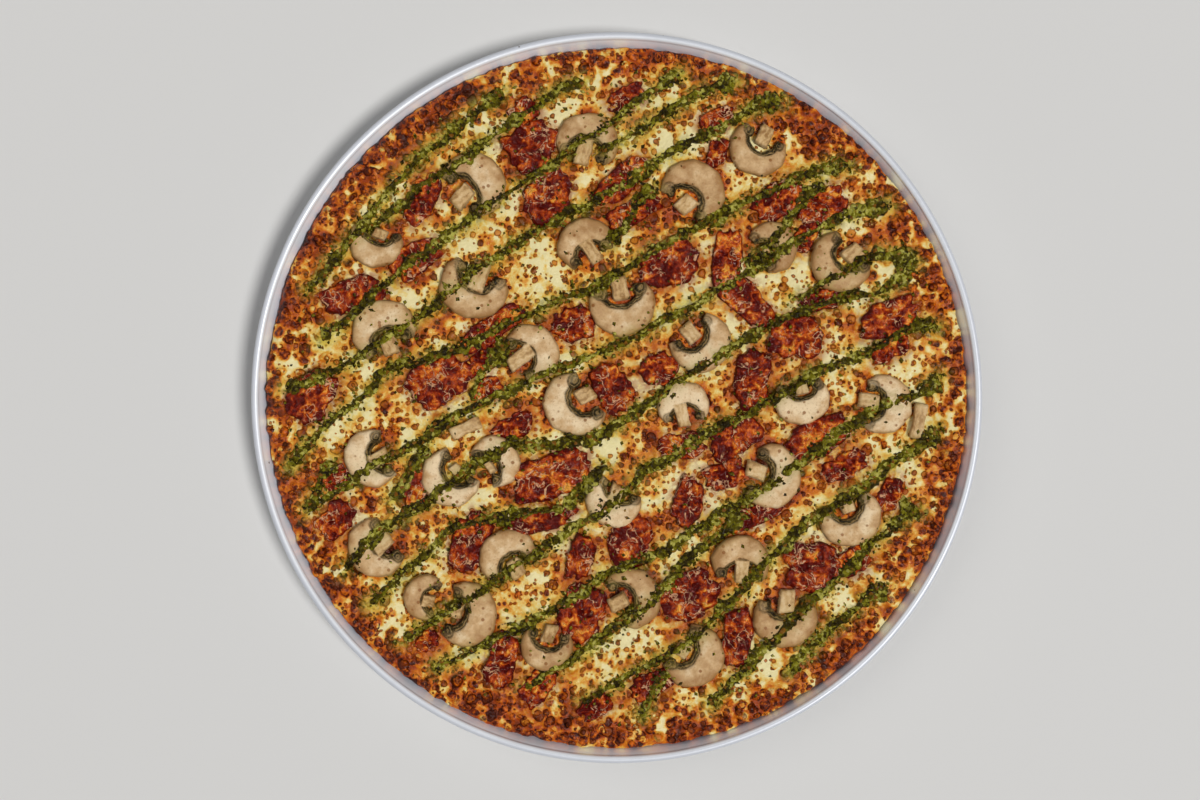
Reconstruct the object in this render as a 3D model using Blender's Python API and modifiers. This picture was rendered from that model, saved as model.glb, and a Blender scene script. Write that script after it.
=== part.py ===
"""Pan pizza with sliced mushrooms, sun-dried tomato and a pesto drizzle, in its round baking pan.

Metres, +Z up. The origin is the centre of the pan's underside, and +Y is the pizza's far side.
"""

import math
import random

import bmesh
import bpy
from mathutils import Matrix, Vector, noise
from mathutils.geometry import delaunay_2d_cdt, interpolate_bezier

MM = 0.001
SEED = 16

# The pan: spun aluminium, 16 inches across its rolled rim and 1 inch deep
RIM_RADIUS = 203.2 * MM
PAN_DEPTH = 25.4 * MM
SHEET = 1.2 * MM
BEAD_RADIUS = 2.1 * MM
WALL_FLARE = 0.5  # outwards for each unit up
CORNER = 2.5 * MM  # from the floor's edge to where the corner starts, and up the wall
PAN_STEPS = 56

# The pizza: dough, sauce and cheese baked into one piece
GAP = 0.3 * MM
CHEESE_Z = 21.6 * MM
PIZZA_RADIUS = 194.4 * MM
TOP_RADIUS = 190.5 * MM
CRAG_START = 176 * MM
CRAG_FULL = 184 * MM
CRAG_LIFT = 0.6 * MM
CRAG_HEIGHT = 2.4 * MM
CRAG_WIDTH = 6 * MM
SWELL_HEIGHT = 0.35 * MM
SWELL_WIDTH = 26 * MM
RIM_STEPS = 90
RIM_RINGS = 4
INNER_POINTS = 110

# Toppings
TOPPING_LIFT = 0.45 * MM
CLEARANCE = 0.5 * MM
SPACE = 1.2 * MM  # at least this far between a piece of tomato and any other topping
SLICE_THICKNESS = 3.6 * MM
TOMATO_THICKNESS = 3.0 * MM
TOMATO_POINTS = 12
SMALL_POINTS = 9
DRIZZLE_RADIUS = 3.0 * MM
DRIZZLE_SUNK = 1.3 * MM
DRIZZLE_STEP = 30 * MM
BLOB = 1.5  # a stroke's first end is this much thicker

# x, y, cap width in mm, the way that the dome points in degrees, and the stem's share of its full length
MUSHROOMS = (
    (-79, 119, 38, 40, 1.0),
    (-134, 86, 31, 250, 0.5),
    (-16, 143, 35, 75, 0.9),
    (78, 138, 33, 240, 1.0),
    (43, 115, 38, 50, 0.8),
    (-18, 86, 32, 120, 0.9),
    (87, 84, 30, 30, 0.5),
    (124, 75, 36, 225, 0.9),
    (-80, 61, 39, 245, 0.9),
    (3, 51, 38, 278, 1.0),
    (-130, 38, 37, 115, 0.9),
    (-47, 25, 34, 30, 1.0),
    (47, 30, 35, 310, 0.9),
    (-24, -4, 37, 215, 0.8),
    (37, -4, 30, 95, 0.9),
    (103, -1, 32, 280, 0.6),
    (149, -4, 34, 355, 1.0),
    (-137, -34, 33, 200, 0.6),
    (-93, -45, 34, 225, 0.5),
    (-67, -35, 30, 35, 0.4),
    (-2, -58, 32, 240, 0.6),
    (86, -44, 37, 345, 0.9),
    (130, -67, 35, 290, 0.6),
    (-134, -84, 35, 215, 0.6),
    (-61, -88, 34, 125, 0.9),
    (-83, -121, 37, 345, 0.5),
    (-107, -111, 26, 165, 0.4),
    (-39, -139, 30, 260, 1.0),
    (9, -111, 35, 25, 0.9),
    (69, -91, 33, 85, 0.8),
    (94, -123, 37, 275, 1.0),
    (43, -144, 37, 325, 0.6),
)
# Loose stems: x, y, length, width in mm and direction in degrees
STEMS = (
    (168, -13, 20, 8, 80),
    (-84, -17, 18, 8, 25),
)
# Sun-dried tomato: x, y, length, width in mm and direction in degrees
TOMATOES = (
    (-37, -44, 44, 26, 20),
    (-99, 9, 37, 27, 25),
    (109, -94, 32, 27, 10),
    (-48, 139, 28, 27, 15),
    (-38, 111, 31, 25, 70),
    (40, -110, 33, 27, 30),
    (30, 75, 34, 24, 20),
    (100, 34, 30, 23, 0),
    (112, -22, 36, 20, 25),
    (75, 11, 34, 21, 80),
    (-146, 57, 35, 20, 12),
    (152, 44, 34, 19, 28),
    (67, -133, 33, 16, 80),
    (-170, 0, 30, 22, 60),
    (66, -22, 30, 20, 35),
    (4, 121, 35, 16, 38),
    (9, 103, 32, 13, 25),
    (-2, 5, 27, 19, 300),
    (8, -80, 29, 23, 80),
    (-24, 41, 24, 19, 15),
    (-64, -147, 33, 17, 75),
    (40, -58, 28, 17, 80),
    (-43, -69, 40, 12, 15),
    (-20, -89, 26, 15, 75),
)
# More pieces, baked into the cheese
SMALL_TOMATOES = (
    (-108, 111, 32, 15, 65),
    (-113, 77, 28, 18, 30),
    (-70, 38, 42, 15, 33),
    (-76, 20, 24, 11, 30),
    (-72, 5, 16, 12, 35),
    (5, 167, 22, 13, 30),
    (-52, 159, 17, 14, 40),
    (56, 155, 20, 12, 25),
    (56, 136, 18, 11, 70),
    (91, 110, 30, 20, 30),
    (115, 107, 28, 18, 35),
    (105, 90, 18, 12, 60),
    (62, 77, 34, 17, 85),
    (71, 55, 38, 18, 315),
    (114, 54, 22, 11, 15),
    (23, 16, 21, 19, 30),
    (152, 27, 24, 12, 30),
    (-58, -17, 24, 14, 25),
    (-111, -50, 24, 12, 80),
    (-82, -80, 33, 22, 70),
    (-156, -68, 23, 18, 50),
    (-156, -45, 16, 12, 40),
    (-20, -119, 31, 24, 70),
    (-44, -161, 24, 15, 50),
    (-12, -172, 19, 13, 40),
    (-106, -136, 14, 10, 40),
    (36, -27, 27, 14, 10),
    (60, -43, 24, 15, 20),
    (127, -38, 28, 14, 25),
    (76, -66, 34, 12, 20),
    (152, -54, 18, 13, 60),
    (132, -91, 20, 15, 30),
    (19, -160, 26, 15, 25),
)
# Pesto strokes, each from its thick end at the upper right
STROKES = (
    ((-63, 170), (-77, 160), (-94, 146), (-111, 132), (-125, 116), (-138, 102), (-151, 84), (-171, 61)),
    (
        (-18, 176), (-31, 172), (-46, 161), (-61, 152), (-76, 141), (-91, 128), (-105, 120),
        (-120, 108), (-145, 89),
    ),
    (
        (35, 180), (10, 163), (-16, 145), (-33, 132), (-65, 110), (-96, 89), (-126, 66), (-144, 48),
        (-164, 32),
    ),
    ((66, 176), (50, 171), (32, 161), (15, 150), (-8, 136)),
    (
        (91, 165), (76, 161), (58, 151), (22, 131), (-5, 114), (-33, 99), (-69, 78), (-93, 59),
        (-109, 46), (-134, 29), (-155, 16), (-184, 4),
    ),
    ((21, 117), (11, 107), (4, 95), (-4, 86)),
    (
        (129, 129), (115, 127), (82, 114), (46, 95), (17, 80), (-13, 61), (-33, 54), (-55, 44),
        (-79, 32), (-104, 22), (-127, 16), (-136, 6), (-148, -5), (-162, -15), (-173, -27),
        (-181, -38),
    ),
    ((115, 120), (106, 111), (97, 100), (89, 89), (73, 72)),
    (
        (151, 107), (135, 104), (106, 90), (74, 71), (39, 50), (13, 36), (-11, 24), (-38, 13),
        (-66, 1), (-97, -14), (-109, -25), (-140, -41), (-172, -63),
    ),
    ((166, 77), (152, 80), (139, 77), (111, 61), (98, 54)),
    (
        (165, 75), (158, 67), (146, 57), (132, 56), (102, 48), (75, 35), (53, 21), (31, 7), (6, -12),
        (-18, -24), (-48, -27), (-62, -27), (-85, -41), (-104, -57), (-129, -72), (-152, -96),
    ),
    (
        (178, 39), (166, 40), (137, 24), (112, 15), (82, -4), (51, -19), (23, -37), (14, -41),
        (1, -56), (-40, -83), (-76, -107), (-95, -119), (-119, -134),
    ),
    ((-61, 33), (-69, 21), (-76, 10), (-81, 0)),
    ((-106, -27), (-112, -37), (-125, -57)),
    ((-156, -36), (-163, -45), (-171, -61)),
    ((-6, -37), (-15, -46), (-29, -61)),
    ((-29, -61), (-48, -63), (-62, -66), (-87, -71), (-106, -87), (-126, -105), (-137, -115)),
    (
        (179, 11), (166, 1), (149, -3), (129, -17), (102, -36), (82, -50), (58, -65), (32, -82),
        (-1, -96), (-26, -113), (-56, -129), (-101, -150),
    ),
    ((68, -61), (62, -72), (41, -89), (21, -111), (-1, -129), (-25, -146), (-51, -161)),
    (
        (179, -18), (166, -27), (134, -51), (119, -61), (92, -83), (72, -105), (51, -126), (41, -136),
        (7, -155), (-19, -170),
    ),
    ((168, -62), (157, -69), (136, -87), (127, -98), (102, -119), (82, -139), (64, -160), (52, -171)),
    ((150, -105), (132, -117), (106, -140), (96, -152)),
    ((28, -152), (21, -162), (13, -177)),
)


def clear_scene():
    for obj in list(bpy.data.objects):
        bpy.data.objects.remove(obj)


def collection(name, parent=None):
    made = bpy.data.collections.new(name)
    (parent or bpy.context.scene.collection).children.link(made)
    return made


def material(name, colour, roughness, metallic=0.0):
    made = bpy.data.materials.new(name)
    made.use_nodes = True
    shader = made.node_tree.nodes["Principled BSDF"]
    shader.inputs["Base Color"].default_value = (*colour, 1)
    shader.inputs["Roughness"].default_value = roughness
    shader.inputs["Metallic"].default_value = metallic
    return made


def add(name, data, where, finish=None):
    obj = bpy.data.objects.new(name, data)
    where.objects.link(obj)
    if finish:
        data.materials.append(finish)
    return obj


def evaluated_mesh(obj):
    """The object's mesh with its modifiers applied, and a curve's caps welded on."""
    bpy.context.view_layer.update()
    graph = bpy.context.evaluated_depsgraph_get()
    mesh = bpy.data.meshes.new_from_object(obj.evaluated_get(graph))
    work = bmesh.new()
    work.from_mesh(mesh)
    bmesh.ops.remove_doubles(work, verts=work.verts, dist=0.01 * MM)
    work.to_mesh(mesh)
    work.free()
    return mesh


def smoothstep(low, high, value):
    t = min(max((value - low) / (high - low), 0), 1)
    return t * t * (3 - 2 * t)


# Pan


def wall_radius(z):
    """The pan's inner radius at a height."""
    bead_z = PAN_DEPTH - BEAD_RADIUS
    return RIM_RADIUS - 2 * BEAD_RADIUS + (z - bead_z) * WALL_FLARE


def pan_profile():
    """Radius and height: out over the floor, up the inner wall, round the rolled rim and down outside."""
    slant = math.hypot(1, WALL_FLARE)
    up = 1 / slant
    out = WALL_FLARE / slant
    edge = wall_radius(SHEET)
    points = [(0, SHEET), (edge - CORNER, SHEET), (edge - 0.25 * CORNER, SHEET + 0.3 * CORNER)]
    points.append((edge + CORNER * out, SHEET + CORNER * up))
    bead = (RIM_RADIUS - BEAD_RADIUS, PAN_DEPTH - BEAD_RADIUS)
    for degrees in (200, 158, 118, 90, 58, 20, 340, 300):
        angle = math.radians(degrees)
        points.append((bead[0] + BEAD_RADIUS * math.cos(angle), bead[1] + BEAD_RADIUS * math.sin(angle)))
    foot = wall_radius(0) + SHEET / up
    points.append((foot + CORNER * out, CORNER * up))
    points += [(foot - 0.25 * CORNER, 0.3 * CORNER), (foot - CORNER, 0), (0, 0)]
    return points


def make_pan(where, finish):
    mesh = bpy.data.meshes.new("pan")
    points = pan_profile()
    edges = [(i, i + 1) for i in range(len(points) - 1)]
    mesh.from_pydata([(r, 0, z) for r, z in points], edges, [])
    pan = add("pan", mesh, where, finish)
    turn = pan.modifiers.new("turn", "SCREW")
    turn.steps = turn.render_steps = PAN_STEPS
    turn.use_merge_vertices = True
    turn.merge_threshold = 0.01 * MM
    turn.use_smooth_shade = True
    return pan


# Pizza base


def surface(x, y):
    """Height of the baked top: gentle swells of cheese, and crags round the edge."""
    swell = SWELL_HEIGHT * noise.noise(Vector((x, y, 0)) / SWELL_WIDTH)
    edge = smoothstep(CRAG_START, CRAG_FULL, math.hypot(x, y))
    crag = noise.noise(Vector((x, y, SEED)) / CRAG_WIDTH)
    return CHEESE_Z + swell + edge * (CRAG_LIFT + CRAG_HEIGHT * crag)


def top_points():
    """Points of the top, the outer ring first: close together over the crags and wide apart inside."""
    draw = random.Random(SEED)
    points = []
    for ring in range(RIM_RINGS):
        radius = TOP_RADIUS - ring * (TOP_RADIUS - CRAG_START) / (RIM_RINGS - 1)
        for step in range(RIM_STEPS):
            angle = math.tau * (step + ring / 2) / RIM_STEPS
            jitter = draw.uniform(-1, 1) * MM if ring else 0
            points.append(Vector(((radius + jitter) * math.cos(angle), (radius + jitter) * math.sin(angle))))
    golden = math.pi * (3 - math.sqrt(5))
    inner = CRAG_START - 5 * MM
    for i in range(INNER_POINTS):
        radius = inner * math.sqrt((i + 0.5) / INNER_POINTS)
        points.append(Vector((radius * math.cos(i * golden), radius * math.sin(i * golden))))
    return points


def side_rings():
    """Radius and height of the side, from the browned shoulder down along the pan's wall to the floor."""
    floor = SHEET + GAP
    low = 5.5 * MM
    return (
        (PIZZA_RADIUS - 0.9 * MM, CHEESE_Z - 0.4 * MM),
        (PIZZA_RADIUS, CHEESE_Z - 2.6 * MM),
        (wall_radius(13 * MM) - 1.2 * MM, 13 * MM),
        (wall_radius(low) - 1.2 * MM, low),
        (wall_radius(floor) - 3.2 * MM, floor),
    )


def make_base(where, finish):
    found = delaunay_2d_cdt(top_points(), [], [], 0, 0.01 * MM)
    work = bmesh.new()
    verts = [work.verts.new((p.x, p.y, surface(p.x, p.y))) for p in found[0]]
    for face in found[2]:
        work.faces.new([verts[i] for i in face])
    loop = [edge for edge in work.edges if edge.is_boundary]
    for number, (radius, z) in enumerate(side_rings()):
        made = bmesh.ops.extrude_edge_only(work, edges=loop)["geom"]
        loop = [part for part in made if isinstance(part, bmesh.types.BMEdge) and part.is_boundary]
        for vert in {vert for edge in loop for vert in edge.verts}:
            angle = math.atan2(vert.co.y, vert.co.x)
            rough = noise.noise(Vector((math.cos(angle), math.sin(angle), number)) * 14)
            shift = rough * MM if number < 2 else 0
            vert.co = ((radius + shift) * math.cos(angle), (radius + shift) * math.sin(angle), z)
    bmesh.ops.contextual_create(work, geom=loop)
    bmesh.ops.recalc_face_normals(work, faces=work.faces)
    mesh = bpy.data.meshes.new("pizza_base")
    work.to_mesh(mesh)
    work.free()
    return add("pizza_base", mesh, where, finish)


# Toppings


def resting_height(x, y, reach):
    """Height for a topping's underside, clear of all the cheese within its reach."""
    highest = CHEESE_Z
    for step in range(48):
        angle = math.tau * step / 12
        radius = reach * (step // 12 + 1) / 4
        highest = max(highest, surface(x + radius * math.cos(angle), y + radius * math.sin(angle)))
    return highest + TOPPING_LIFT


def slice_outline(width, stem, draw):
    """A mushroom cut lengthwise: a domed cap with curled lips, and the stem between them."""
    points = []
    for degrees in range(-42, 223, 24):
        angle = math.radians(degrees)
        radius = 0.5 * width * draw.uniform(0.96, 1.03)
        points.append((radius * math.cos(angle), 0.94 * radius * math.sin(angle) - 0.02 * width))
    foot = -0.10 - 0.34 * stem
    lean = draw.uniform(-0.04, 0.04)
    points += [(-0.27 * width, -0.28 * width), (-0.14 * width, -0.15 * width)]
    points += [((lean - 0.13) * width, foot * width), ((lean + 0.13) * width, foot * width)]
    points += [(0.14 * width, -0.15 * width), (0.27 * width, -0.28 * width)]
    return points


def flat_piece(name, outline, thickness, where, finish):
    """A flat outline raised to a thickness, with its underside at the object's origin."""
    curve = bpy.data.curves.new(name, "CURVE")
    curve.dimensions = "2D"
    curve.fill_mode = "BOTH"
    curve.extrude = thickness / 2
    spline = curve.splines.new("POLY")
    spline.points.add(len(outline) - 1)
    for point, (x, y) in zip(spline.points, outline):
        point.co = (x, y, 0, 1)
    spline.use_cyclic_u = True
    shape = add(name, curve, where)
    mesh = evaluated_mesh(shape)
    bpy.data.objects.remove(shape)
    for vert in mesh.vertices:
        vert.co.z += thickness / 2
    return add(name, mesh, where, finish)


def make_slices(where, finish):
    made = []
    draw = random.Random(SEED)
    for number, (x, y, width, degrees, stem) in enumerate(MUSHROOMS, 1):
        outline = slice_outline(width * MM, stem, draw)
        piece = flat_piece(f"mushroom_{number:02d}", outline, SLICE_THICKNESS, where, finish)
        piece.location = (x * MM, y * MM, resting_height(x * MM, y * MM, width / 2 * MM))
        piece.rotation_euler.z = math.radians(degrees - 90)
        made.append(piece)
    for number, (x, y, length, width, degrees) in enumerate(STEMS, 1):
        half = length / 2 * MM
        side = width / 2 * MM
        outline = [(-half, -side), (0, -0.8 * side), (half, -side), (half, side), (0, 0.8 * side), (-half, side)]
        piece = flat_piece(f"mushroom_stem_{number}", outline, SLICE_THICKNESS, where, finish)
        piece.location = (x * MM, y * MM, resting_height(x * MM, y * MM, half))
        piece.rotation_euler.z = math.radians(degrees)
        made.append(piece)
    return made


def placed_outline(piece):
    """A flat piece's outline where it lies, for a piece whose corners all show in its outline."""
    turned = Matrix.Rotation(piece.rotation_euler.z, 2)
    places = [vert.co.xy for vert in piece.data.vertices if vert.co.z < GAP]
    places.sort(key=lambda place: math.atan2(place.y, place.x))
    return [turned @ place + piece.location.xy for place in places]


def inside(place, outline):
    """Whether a place is within a closed outline."""
    found = False
    for start, end in zip(outline, outline[1:] + outline[:1]):
        if (start.y > place.y) != (end.y > place.y):
            share = (place.y - start.y) / (end.y - start.y)
            if place.x < start.x + share * (end.x - start.x):
                found = not found
    return found


def free_reach(centre, way, reach, taken):
    """How far a piece may go from its centre before it comes close to another topping."""
    side = Vector((-way.y, way.x)) * SPACE
    steps = int(reach / SPACE * 2)
    for step in range(1, steps + 1):
        far = step * SPACE / 2
        ahead = centre + way * (far + SPACE)
        if any(inside(ahead + shift, outline) for outline in taken for shift in (Vector((0, 0)), side, -side)):
            return max(far - SPACE / 2, SPACE)
    return reach


def tomato_edge(size, points, taken):
    """The ragged, squarish edge of a piece of tomato, cut short where another topping lies."""
    x, y, length, width, degrees = size
    centre = Vector((x, y)) * MM
    turned = Matrix.Rotation(math.radians(degrees), 2)
    edge = []
    for step in range(points):
        angle = math.tau * (step + 0.5) / points
        way = Vector((math.cos(angle), math.sin(angle)))
        square = (abs(way.x) ** 3 + abs(way.y) ** 3) ** (-1 / 3)
        ragged = 1 + 0.25 * noise.noise(Vector((way.x * 2.5 + x, way.y * 2.5 + y, SEED + 0.5)))
        far = turned @ Vector((length / 2 * way.x, width / 2 * way.y)) * square * ragged * MM
        reach = far.length
        way = far / reach
        edge.append(way * free_reach(centre, way, reach, taken))
    return edge


def make_tomato(name, size, height, points, taken, where, finish=None):
    """A shrivelled piece of dried tomato: a flat lump with a ragged edge and its underside level."""
    edge = tomato_edge(size, points, taken)
    work = bmesh.new()
    foot = [work.verts.new((*place, 0)) for place in edge]
    brow = []
    for place in edge:
        level = 0.85 + 0.3 * noise.noise(Vector((*place, size[0])) / (5 * MM))
        brow.append(work.verts.new((*(place * 0.8), TOMATO_THICKNESS * level)))
    crown = work.verts.new((0, 0, 0.75 * TOMATO_THICKNESS))
    work.faces.new(foot)
    for i in range(-1, points - 1):
        work.faces.new((foot[i], foot[i + 1], brow[i + 1], brow[i]))
        work.faces.new((brow[i], brow[i + 1], crown))
    bmesh.ops.triangulate(work, faces=work.faces)
    bmesh.ops.recalc_face_normals(work, faces=work.faces)
    mesh = bpy.data.meshes.new(name)
    work.to_mesh(mesh)
    work.free()
    piece = add(name, mesh, where, finish)
    piece.location = (size[0] * MM, size[1] * MM, height)
    return piece


def make_tomatoes(slices, where, finish):
    made = []
    for number, size in enumerate(TOMATOES, 1):
        height = resting_height(size[0] * MM, size[1] * MM, size[2] / 2 * MM)
        taken = [placed_outline(piece) for piece in slices + made]
        made.append(make_tomato(f"tomato_{number:02d}", size, height, TOMATO_POINTS, taken, where, finish))
    return made


def make_strokes(where):
    """Pesto strokes, each a tube half sunk in the cheese."""
    for number, stroke in enumerate(STROKES, 1):
        places = [Vector((x * MM, y * MM, 0)) for x, y in stroke]
        line = [places[0]]
        for i in range(len(places) - 1):
            before = places[max(i - 1, 0)]
            after = places[min(i + 2, len(places) - 1)]
            start, end = places[i], places[i + 1]
            steps = max(1, round((end - start).length / DRIZZLE_STEP))
            bend_in = start + (end - before) / 6
            bend_out = end - (after - start) / 6
            line += interpolate_bezier(start, bend_in, bend_out, end, steps + 1)[1:]
        curve = bpy.data.curves.new(f"stroke_{number}", "CURVE")
        curve.dimensions = "3D"
        curve.bevel_depth = DRIZZLE_RADIUS
        curve.bevel_resolution = 1
        curve.use_fill_caps = True
        spline = curve.splines.new("POLY")
        spline.points.add(len(line) - 1)
        for i, (point, place) in enumerate(zip(spline.points, line)):
            point.co = (place.x, place.y, surface(place.x, place.y) - DRIZZLE_SUNK, 1)
            point.radius = BLOB if i == 0 else 1 + 0.2 * noise.noise(place / (9 * MM))
        shape = add(curve.name, curve, where)
        mesh = evaluated_mesh(shape)
        bpy.data.objects.remove(shape)
        add(f"stroke_{number}", mesh, where)


def make_clearance(piece, where):
    """A prism round a topping, from just under it upwards, which keeps the cheese and pesto off it."""
    work = bmesh.new()
    for vert in piece.data.vertices:
        place = vert.co.xy
        if place.length < SPACE:
            continue
        place = place + place.normalized() * 1.8 * CLEARANCE
        work.verts.new((*place, -GAP))
        work.verts.new((*place, 3 * SLICE_THICKNESS))
    bmesh.ops.convex_hull(work, input=work.verts)
    bmesh.ops.delete(work, geom=[vert for vert in work.verts if not vert.link_faces], context="VERTS")
    bmesh.ops.dissolve_limit(work, angle_limit=math.radians(4), verts=work.verts, edges=work.edges)
    mesh = bpy.data.meshes.new(f"clear_{piece.name}")
    work.to_mesh(mesh)
    work.free()
    cutter = add(mesh.name, mesh, where)
    cutter.location = piece.location
    cutter.rotation_euler = piece.rotation_euler
    cutter.hide_render = True
    cutter.display_type = "WIRE"


def apply_boolean(obj, operation, others):
    """Joins or cuts obj with every object of a collection, and removes them."""
    modifier = obj.modifiers.new(operation.lower(), "BOOLEAN")
    modifier.operation = operation
    modifier.operand_type = "COLLECTION"
    modifier.collection = others
    modifier.solver = "EXACT"
    mesh = evaluated_mesh(obj)
    obj.modifiers.clear()
    obj.data = mesh
    for other in list(others.objects):
        bpy.data.objects.remove(other)
    bpy.data.collections.remove(others)


def main():
    clear_scene()
    parts = collection("pan_pizza")
    fused = collection("fused")
    clearances = collection("clearances")
    metal = material("pan_metal", (0.78, 0.79, 0.81), 0.35, 1.0)
    crust = material("baked_cheese", (0.72, 0.38, 0.10), 0.5)
    mushroom = material("mushroom", (0.72, 0.56, 0.40), 0.55)
    tomato = material("dried_tomato", (0.30, 0.03, 0.02), 0.35)

    make_pan(parts, metal)
    base = make_base(parts, crust)
    toppings = make_slices(parts, mushroom)
    toppings += make_tomatoes(toppings, parts, tomato)
    make_strokes(fused)
    for number, size in enumerate(SMALL_TOMATOES, 1):
        make_tomato(f"small_{number}", size, surface(size[0] * MM, size[1] * MM) - GAP, SMALL_POINTS, [], fused)
    apply_boolean(base, "UNION", fused)
    for piece in toppings:
        make_clearance(piece, clearances)
    apply_boolean(base, "DIFFERENCE", clearances)

    pizza = bpy.data.objects.new("pizza", None)
    parts.objects.link(pizza)
    for piece in [base, *toppings]:
        piece.parent = pizza


main()
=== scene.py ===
"""Looks of the pan pizza: browned cheese, mushroom, dried tomato and pesto in a metal pan."""

import math
import random

import bpy
import numpy as np
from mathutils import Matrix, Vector, noise


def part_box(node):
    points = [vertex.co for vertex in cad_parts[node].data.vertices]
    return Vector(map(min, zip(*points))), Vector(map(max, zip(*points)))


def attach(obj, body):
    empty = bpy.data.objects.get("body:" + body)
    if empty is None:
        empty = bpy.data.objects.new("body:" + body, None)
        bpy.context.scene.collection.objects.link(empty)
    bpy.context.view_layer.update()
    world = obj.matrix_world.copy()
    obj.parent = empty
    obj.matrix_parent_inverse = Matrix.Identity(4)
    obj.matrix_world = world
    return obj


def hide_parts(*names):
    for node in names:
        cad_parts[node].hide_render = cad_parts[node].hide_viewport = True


MM = 0.001
SEED = 16

# Sizes shared with the solids, in millimetres
RIM_RADIUS = 203.2
PAN_DEPTH = 25.4
SHEET = 1.2
BEAD_RADIUS = 2.1
WALL_FLARE = 0.5
CHEESE_Z = 21.6
SLICE_THICKNESS = 3.6
TOMATO_THICKNESS = 3.0

# How far the blisters of the crust reach, and how many places are tried for them
CRUST_RADIUS = 195
BLISTER_TRIES = 34000
# Layers of small bubbles: cells for each metre, share of bubbles, and how much browning adds to it
BUBBLE_LAYERS = ((108.0, 0.14, 0.90), (195.0, 0.48, 0.35), (350.0, 0.36, 0.2))
# Half the width and the height of a pesto stroke, and how far oil and juice spread, in millimetres
PESTO_REACH = 2.75
PESTO_HEIGHT = 1.35
OIL_REACH = 5.4
JUICE_REACH = 7

# Lamps: name, where it shines from, its power and its angle
LAMPS = (
    ("key", (0.52, -0.28, 1.12), 2.22, 0.3),
    ("fill", (-0.75, 0.45, 1.0), 0.55, 0.8),
)
# The camera's lens and sensor in millimetres, and the width in metres that it shows
LENS = 50
SENSOR = 36
VIEW_WIDTH = 0.666

# x, y, cap width, the way that the dome points in degrees, and the stem's share of its full length
MUSHROOMS = (
    (-79, 119, 38, 40, 1.0),
    (-134, 86, 31, 250, 0.5),
    (-16, 143, 35, 75, 0.9),
    (78, 138, 33, 240, 1.0),
    (43, 115, 38, 50, 0.8),
    (-18, 86, 32, 120, 0.9),
    (87, 84, 30, 30, 0.5),
    (124, 75, 36, 225, 0.9),
    (-80, 61, 39, 245, 0.9),
    (3, 51, 38, 278, 1.0),
    (-130, 38, 37, 115, 0.9),
    (-47, 25, 34, 30, 1.0),
    (47, 30, 35, 310, 0.9),
    (-24, -4, 37, 215, 0.8),
    (37, -4, 30, 95, 0.9),
    (103, -1, 32, 280, 0.6),
    (149, -4, 34, 355, 1.0),
    (-137, -34, 33, 200, 0.6),
    (-93, -45, 34, 225, 0.5),
    (-67, -35, 30, 35, 0.4),
    (-2, -58, 32, 240, 0.6),
    (86, -44, 37, 345, 0.9),
    (130, -67, 35, 290, 0.6),
    (-134, -84, 35, 215, 0.6),
    (-61, -88, 34, 125, 0.9),
    (-83, -121, 37, 345, 0.5),
    (-107, -111, 26, 165, 0.4),
    (-39, -139, 30, 260, 1.0),
    (9, -111, 35, 25, 0.9),
    (69, -91, 33, 85, 0.8),
    (94, -123, 37, 275, 1.0),
    (43, -144, 37, 325, 0.6),
)
# Loose stems: x, y, length, width and direction in degrees
STEMS = (
    (168, -13, 20, 8, 80),
    (-84, -17, 18, 8, 25),
)
# Dried tomato: x, y, length, width and direction in degrees
TOMATOES = (
    (-37, -44, 44, 26, 20),
    (-99, 9, 37, 27, 25),
    (109, -94, 32, 27, 10),
    (-48, 139, 28, 27, 15),
    (-38, 111, 31, 25, 70),
    (40, -110, 33, 27, 30),
    (30, 75, 34, 24, 20),
    (100, 34, 30, 23, 0),
    (112, -22, 36, 20, 25),
    (75, 11, 34, 21, 80),
    (-146, 57, 35, 20, 12),
    (152, 44, 34, 19, 28),
    (67, -133, 33, 16, 80),
    (-170, 0, 30, 22, 60),
    (66, -22, 30, 20, 35),
    (4, 121, 35, 16, 38),
    (9, 103, 32, 13, 25),
    (-2, 5, 27, 19, 300),
    (8, -80, 29, 23, 80),
    (-24, 41, 24, 19, 15),
    (-64, -147, 33, 17, 75),
    (40, -58, 28, 17, 80),
    (-43, -69, 40, 12, 15),
    (-20, -89, 26, 15, 75),
)
# More pieces, baked into the cheese
SMALL_TOMATOES = (
    (-108, 111, 32, 15, 65),
    (-113, 77, 28, 18, 30),
    (-70, 38, 42, 15, 33),
    (-76, 20, 24, 11, 30),
    (-72, 5, 16, 12, 35),
    (5, 167, 22, 13, 30),
    (-52, 159, 17, 14, 40),
    (56, 155, 20, 12, 25),
    (56, 136, 18, 11, 70),
    (91, 110, 30, 20, 30),
    (115, 107, 28, 18, 35),
    (105, 90, 18, 12, 60),
    (62, 77, 34, 17, 85),
    (71, 55, 38, 18, 315),
    (114, 54, 22, 11, 15),
    (23, 16, 21, 19, 30),
    (152, 27, 24, 12, 30),
    (-58, -17, 24, 14, 25),
    (-111, -50, 24, 12, 80),
    (-82, -80, 33, 22, 70),
    (-156, -68, 23, 18, 50),
    (-156, -45, 16, 12, 40),
    (-20, -119, 31, 24, 70),
    (-44, -161, 24, 15, 50),
    (-12, -172, 19, 13, 40),
    (-106, -136, 14, 10, 40),
    (36, -27, 27, 14, 10),
    (60, -43, 24, 15, 20),
    (127, -38, 28, 14, 25),
    (76, -66, 34, 12, 20),
    (152, -54, 18, 13, 60),
    (132, -91, 20, 15, 30),
    (19, -160, 26, 15, 25),
)
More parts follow.
